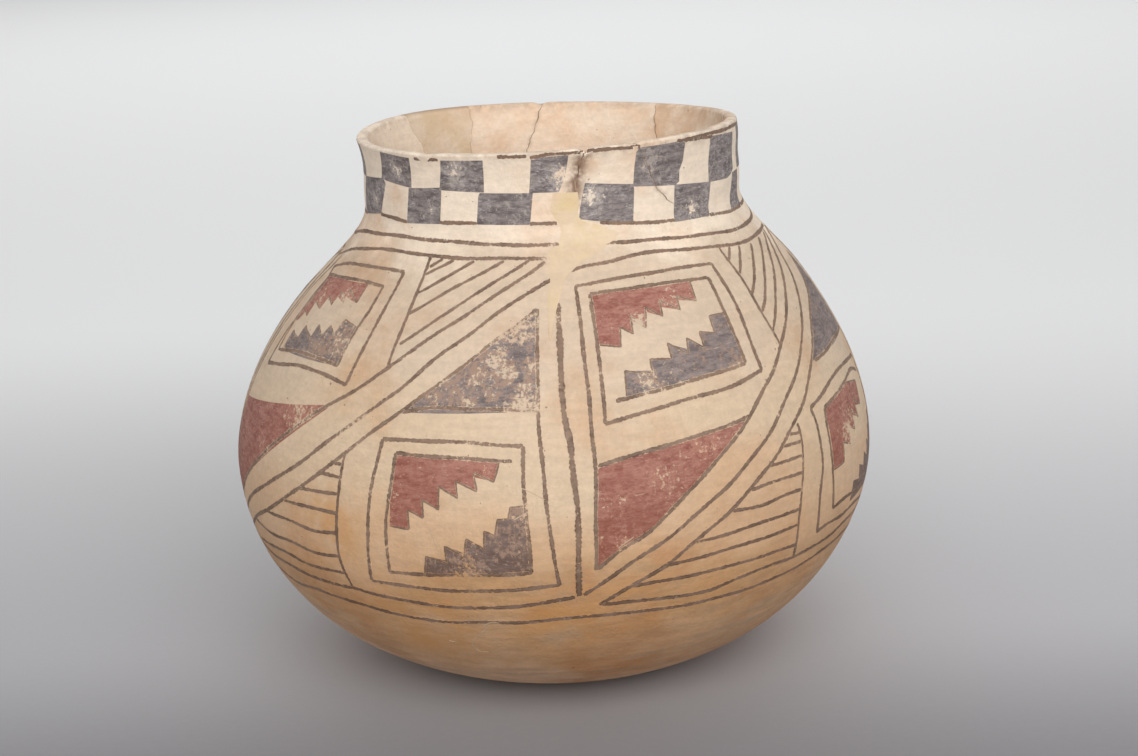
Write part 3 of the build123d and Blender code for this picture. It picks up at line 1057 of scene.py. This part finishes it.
brush = {
    "frameWidth": 0.00138,
    "heavyWidth": 0.00205,
    "hatchWidth": 0.00120,
    "neckWidth": 0.00130,
    "outlineWidth": 0.00070,
    "paleWidth": 0.00032,
    "redLift": 0.00004,
    "fillLift": 0.00005,
    "lineLift": 0.00007,
    "paleLift": 0.00009,
    "depth": 0.00015,
    "strokeStep": 0.0006,
    "strokeStart": (1000, 0, 700),    # turns the place where a stroke starts into the start of its waves
    "uneven": [(0.10, 430, 1), (0.08, 1270, 2)],     # share of the width, pace along the stroke, start
    "ragged": [(0.09, 3900, 1), (0.08, 6100, 3)],
    "stray": [(0.00010, 260, 1)],
    "endWidth": 0.7,
    "edgeStep": 0.0008,
    "edgeWaver": 0.00013,
    "edgePaces": (2100, 900, 2500),
    "fanStart": 0.03,
    "fanRows": 18,
    "checkCells": 24,
    "plainCorners": 9,        # a shape with more corners than this is stepped, and gets an outline
    "lowerSteps": 2,          # this black shape is painted again on the right, out of sight
    "lowerTurn": 86.4,        # so many degrees further on
    "backStretch": 1.095,     # the back of the design is a little wider than the front
}


def smoothLine(points, spacing):
    # A cubic curve through given points, each taken with the slope between its neighbours.
    walked = walkedAlong(points)
    lengths = np.diff(walked)
    slopes = np.gradient(points, walked, axis=0)
    at = np.linspace(0, walked[-1], max(int(walked[-1] / spacing) + 1, 4))
    piece = np.clip(np.searchsorted(walked, at, side="right") - 1, 0, len(lengths) - 1)
    long = lengths[piece][:, None]
    t = (at - walked[piece])[:, None] / long
    start, end = points[piece], points[piece + 1]
    leave, arrive = slopes[piece] * long, slopes[piece + 1] * long
    return (start * (1 + 2 * t) * (1 - t) ** 2 + leave * t * (1 - t) ** 2
            + end * t ** 2 * (3 - 2 * t) + arrive * t ** 2 * (t - 1))


def brushStroke(bearing, height, width, lift):
    # A ribbon along a line on the wall: two edges half a width to each side, uneven as a brush
    # leaves them, and narrowed at both ends.
    middle = outside(bearing, height)
    normal = outsideNormal(bearing, height)
    side = np.cross(normal, np.gradient(middle, axis=0))
    side /= np.linalg.norm(side, axis=1, keepdims=True)
    walked = walkedAlong(middle)
    start = middle[0] @ brush["strokeStart"]
    uneven = 1 + ripple(walked, start, brush["uneven"])
    ragged = ripple(walked, start, brush["ragged"])
    ends = np.minimum(1, brush["endWidth"] + np.minimum(walked, walked[-1] - walked) / width)
    left = (0.5 * width * (uneven + ragged) * ends)[:, None]
    right = (0.5 * width * (uneven - ragged) * ends)[:, None]
    stray = ripple(walked, start, brush["stray"])[:, None]
    edges = np.stack([middle + side * (stray - right), middle + side * (stray + left)], axis=1)
    away = normal[:, None, :]
    return slab(edges + away * lift, edges - away * brush["depth"])


def filledShape(bearing, height, lift):
    # A grid of bearings and heights laid on the wall, turned so that its faces look outwards.
    outer = outside(bearing, height)
    normal = outsideNormal(bearing, height)
    looks = np.cross(outer[1:, :-1] - outer[:-1, :-1], outer[:-1, 1:] - outer[:-1, :-1])
    if (looks * normal[:-1, :-1]).sum() < 0:
        outer, normal = outer[::-1], normal[::-1]
    return slab(outer + normal * lift, outer - normal * brush["depth"])


def keptCorners(points, spacing):
    # Points along a chain of straight lines, with each of its corners kept.
    lengths = np.linalg.norm(np.diff(points, axis=0), axis=1)
    runs = [np.linspace(start, end, max(int(length / spacing), 1), endpoint=False)
            for start, end, length in zip(points[:-1], points[1:], lengths)]
    return np.concatenate(runs + [points[-1:]])


def lineOnSkin(line):
    # A list of pixels, or a pair of pixels and hidden points, laid on the wall.
    return onSkin(*line) if isinstance(line, tuple) else onSkin(line)


def fanGrid(points):
    # Rulings from just beside a corner out to each point of its far edge, which wavers a little.
    edge = keptCorners(points[1:], brush["edgeStep"])
    along, up = edge.T
    steep, slant, level = brush["edgePaces"]
    wavers = np.stack([np.sin(steep * up + slant * along), np.sin(level * along + 3)], axis=1)
    edge = edge + brush["edgeWaver"] * wavers
    out = np.linspace(brush["fanStart"], 1, brush["fanRows"])[None, :, None]
    return offSkin(points[0] + (edge[:, None, :] - points[0]) * out)


def checkGrid(left, right):
    # Rulings between a check's two sides.
    return ruledGrid(left, right, brush["checkCells"], brush["checkCells"])


def strokesOnJar(lines):
    # Bearings and heights along the smooth curve of each line.
    return [offSkin(smoothLine(lineOnSkin(line), brush["strokeStep"])) for line in lines]


def checksBehind(look):
    # Black checks by turns in the upper and the lower row, between heights that change evenly round
    # the back, with edges that waver from check to check.
    sway, swayPace = look["sway"]
    unlevel, unlevelPace = look["unlevel"]
    first, second = np.array(look["rows"])
    checks = []
    for number in range(look["count"]):
        if number in look["gaps"]:
            continue
        sides = np.array([number, number + 1.0])
        ends = look["from"] + look["step"] * sides + sway * np.sin(swayPace * sides)
        heights = first + (second - first) * (number + 0.5) / look["count"]
        heights = heights + unlevel * np.sin(unlevelPace * number + np.arange(3))
        upper = 1 - number % 2
        low, high = heights[upper:upper + 2]
        checks.append(checkGrid(*[onSkin([], [(end, low), (end, high)]) for end in ends]))
    return checks


def baseBehind(look):
    # The line under the lower row, in two strokes that stop at the bare plaster.
    first, second = look["rows"]
    last = look["from"] + look["step"] * look["count"]
    bareFrom, bareTo = look["bare"]
    rise = (second[0] - first[0]) / (last - look["from"])
    strokes = []
    for start, end in ((look["from"], bareFrom), (bareTo, last)):
        bearings = np.linspace(start, end, look["basePoints"])
        strokes.append(([], np.stack([bearings, first[0] + rise * (bearings - look["from"])], axis=1)))
    return strokes


fans = redFans + blackFans
stepped = [fan for fan in fans if isinstance(fan, list) and len(fan) > brush["plainCorners"]]
jarStrokes = {                # the design's lines by their width
    "frameWidth": strokesOnJar(frameLines),
    "heavyWidth": strokesOnJar(heavyLines),
    "hatchWidth": strokesOnJar(hatchLines),
    "outlineWidth": strokesOnJar([list(pair) for fan in stepped for pair in zip(fan[1:-1], fan[2:])]),
}
redShapes = [fanGrid(lineOnSkin(fan)) for fan in redFans]
blackShapes = [fanGrid(lineOnSkin(fan)) for fan in blackFans]
bearing, height = blackShapes[brush["lowerSteps"]]
blackShapes.append((bearing + radians(brush["lowerTurn"]), height))
neckShapes = [checkGrid(lineOnSkin(left), lineOnSkin(right)) for left, right in neckChecks]
neckShapes += checksBehind(backChecks)
neckStrokes = strokesOnJar(neckLines + rimLines + baseBehind(backChecks))

lineLift = brush["lineLift"]
lineGrids = [brushStroke(b, h, brush["neckWidth"], lineLift) for b, h in neckStrokes]
blackGrids = []
redGrids = []
for turned, stretch in ((0, 1), (pi, brush["backStretch"])):    # the front, and the back like it
    for width, strokes in jarStrokes.items():
        lineGrids += [brushStroke(turned + b * stretch, h, brush[width], lineLift) for b, h in strokes]
    blackGrids += [filledShape(turned + b * stretch, h, brush["fillLift"]) for b, h in blackShapes]
    redGrids += [filledShape(turned + b * stretch, h, brush["redLift"]) for b, h in redShapes]
checkGrids = [filledShape(b, h, brush["fillLift"]) for b, h in neckShapes]
paleStrokes = strokesOnJar(paleMarks)
paleGrids = [brushStroke(b, h, brush["paleWidth"], brush["paleLift"]) for b, h in paleStrokes]
across = np.concatenate([np.tile([-1.0, 1.0], len(points) // 2) for points, faces in lineGrids])
paintedPieces = [
    ("paintedLines", lineGrids, lineBlack, {"across": across}),
    ("blackShapes", blackGrids, shapeBlack, {}),
    ("redShapes", redGrids, shapeRed, {}),
    ("neckChecks", checkGrids, neckBlack, {}),
    ("paleMarks", paleGrids, chalk, {}),
]
for name, grids, finish, marks in paintedPieces:
    points, faces = joinGrids(grids)
    marks["rubbed"] = strongestAt(points, rubbedSpots)
    addPiece(name, points, faces, finish, "fired_clay", marks=marks)
print("painting made")

# Floor and light
floorLook = {
    "halfSize": 6.0,
    # Painted light and shade: the paper is painted darker near the front and paler far back, as the lamps'
    # light falls off, and a little darker to the left.
    "near": (138, 136, 139),
    "middle": (183, 182, 185),
    "far": (246, 246, 246),
    "room": (190, 189, 191),
    "toMiddle": (-0.15, 0.01),          # y between which the near paper becomes the middle one
    "toFar": (-0.09, 0.55),             # the middle one the far one
    "toRoom": (-0.11, -0.30),           # and, towards the room, the near one the room's
    "sideShade": (-0.20, 0.20, 0.92, 1.06),  # painted shade: near by, a little darker to the left than to the right
    "toEven": (0.20, 0.55),             # y between which it becomes even from side to side
    "grain": (300, 2),
    "roughness": (0.7, 0.8),
    "bump": 0.00002,
}
floorMesh = bpy.data.meshes.new("studioFloor")
half = floorLook["halfSize"]
floorCorners = [(-half, -half, 0), (half, -half, 0), (half, half, 0), (-half, half, 0)]
floorMesh.from_pydata(floorCorners, [], [(0, 1, 2, 3)])
floor = bpy.data.objects.new("studioFloor", floorMesh)
bpy.context.scene.collection.objects.link(floor)
paper = Finish("studioPaper")
side, back = paper.axis("X"), paper.axis("Y")
# Painted shade near the front, painted light far back, and painted shade to the left near by.
colour = paper.mixed(paper.level(back, *floorLook["toMiddle"]), floorLook["near"], floorLook["middle"])
colour = paper.mixed(paper.level(back, *floorLook["toFar"]), colour, floorLook["far"])
colour = paper.mixed(paper.level(back, *floorLook["toRoom"]), colour, floorLook["room"])
shadedLeft = paper.mixed(1.0, colour, paper.level(side, *floorLook["sideShade"]), "MULTIPLY")
colour = paper.mixed(paper.level(back, *floorLook["toEven"]), shadedLeft, colour)
paper.finish(colour, floorLook)
floorMesh.materials.append(paper.material)

studioLights = [              # place, aim, width, height, watts and spread in degrees
    ("keyLight", (0.24, -1.16, 0.84), (0, 0, 0.12), 1.7, 0.9, 4.25, 80),
    ("fillLight", (-0.7, -1.1, 0.75), (0, 0, 0.12), 0.9, 0.7, 0.50, 80),
    ("backLight", (0, 2.5, 1.7), (0, 2.5, 0), 3.2, 2.8, 27, 180),
]
studioAir = {"Color": (0.98, 0.99, 1.0, 1), "Strength": 0.42}
for name, spot, target, width, height, power, spread in studioLights:
    lamp = bpy.data.lights.new(name, "AREA")
    lamp.shape = "RECTANGLE"
    lamp.size = width
    lamp.size_y = height
    lamp.energy = power
    lamp.spread = radians(spread)
    light = bpy.data.objects.new(name, lamp)
    aim = Vector(spot) - Vector(target)
    light.matrix_world = Matrix.Translation(spot) @ aim.to_track_quat("Z", "Y").to_matrix().to_4x4()
    bpy.context.scene.collection.objects.link(light)
world = bpy.data.worlds.new("studioAir")
bpy.context.scene.world = world
world.use_nodes = True
for socket, value in studioAir.items():
    world.node_tree.nodes["Background"].inputs[socket].default_value = value
bpy.context.scene.view_settings.view_transform = "Standard"
print("studio made")
